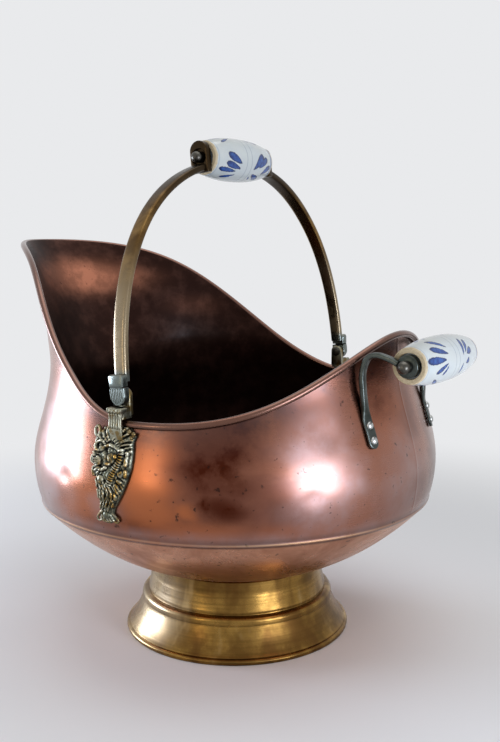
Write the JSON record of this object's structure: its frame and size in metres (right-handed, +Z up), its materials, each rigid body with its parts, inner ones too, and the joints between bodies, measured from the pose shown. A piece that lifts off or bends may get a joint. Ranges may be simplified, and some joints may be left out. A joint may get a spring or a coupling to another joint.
{
  "type": "log bucket",
  "caption": "Helmet-shaped copper log bucket on a brass foot, with a swinging brass bail on lion masks, a fixed rear handle and blue and white pottery grips.",
  "frame": {"origin": "on the standing plane, under the middle of the whole outline", "axes": "+Z up, the pouring lip points to -X, the rear handle to +X, both grips lie along Y"},
  "size_m": [0.4234, 0.3448, 0.4077],
  "materials": {
    "body_copper": "polished copper, darkened and spotted with age",
    "pan_copper": "dull pinkish-brown copper",
    "iron_wire": "dark iron wire inside the rolled rim",
    "foot_brass": "spun brass, aged olive gold",
    "arm_brass": "cast brass, brown patina with rubbed edges",
    "mask_brass": "cast brass, dark verdigris with rubbed high points",
    "dark_metal": "dark bronzed iron, satin",
    "rivet_metal": "pale domed rivets",
    "pottery": "bluish-white glaze with cobalt leaf sprays"
  },
  "bodies": {
    "bucket": {"upper_body": "body_copper", "bottom_pan": "pan_copper", "rim_wire": "iron_wire", "foot": "foot_brass", "lion_mask_right": "mask_brass", "lion_mask_left": "mask_brass", "mask_rivet_1_right": "mask_brass", "mask_rivet_1_left": "mask_brass", "mask_rivet_2_right": "mask_brass", "mask_rivet_2_left": "mask_brass", "pivot_pin_right": "dark_metal", "pivot_pin_left": "dark_metal", "rear_strap_right": "dark_metal", "rear_strap_left": "dark_metal", "strap_rivet_1_right": "rivet_metal", "strap_rivet_1_left": "rivet_metal", "strap_rivet_2_right": "rivet_metal", "strap_rivet_2_left": "rivet_metal", "rear_rod": "dark_metal", "rear_nut_right": "dark_metal", "rear_nut_left": "dark_metal"},
    "bail": {"bail_arm_right": "arm_brass", "bail_arm_left": "arm_brass", "bail_rod": "dark_metal", "bail_nut_right": "dark_metal", "bail_nut_left": "dark_metal"},
    "bail_grip": {"bail_grip": "pottery"},
    "rear_grip": {"rear_grip": "pottery"}
  },
  "joints": [
    {"name": "bail_swing", "type": "hinge", "parent": "bucket", "child": "bail", "pos_m": [0.02696, 0, 0.2195], "axis": [0, 1, 0], "range_deg": [-55, 76]},
    {"name": "bail_grip_turn", "type": "hinge", "parent": "bail", "child": "bail_grip", "pos_m": [0.01331, 0, 0.39048], "axis": [0, 1, 0], "continuous": true},
    {"name": "rear_grip_turn", "type": "hinge", "parent": "bucket", "child": "rear_grip", "pos_m": [0.19466, 0, 0.2398], "axis": [0, 1, 0], "continuous": true}
  ]
}
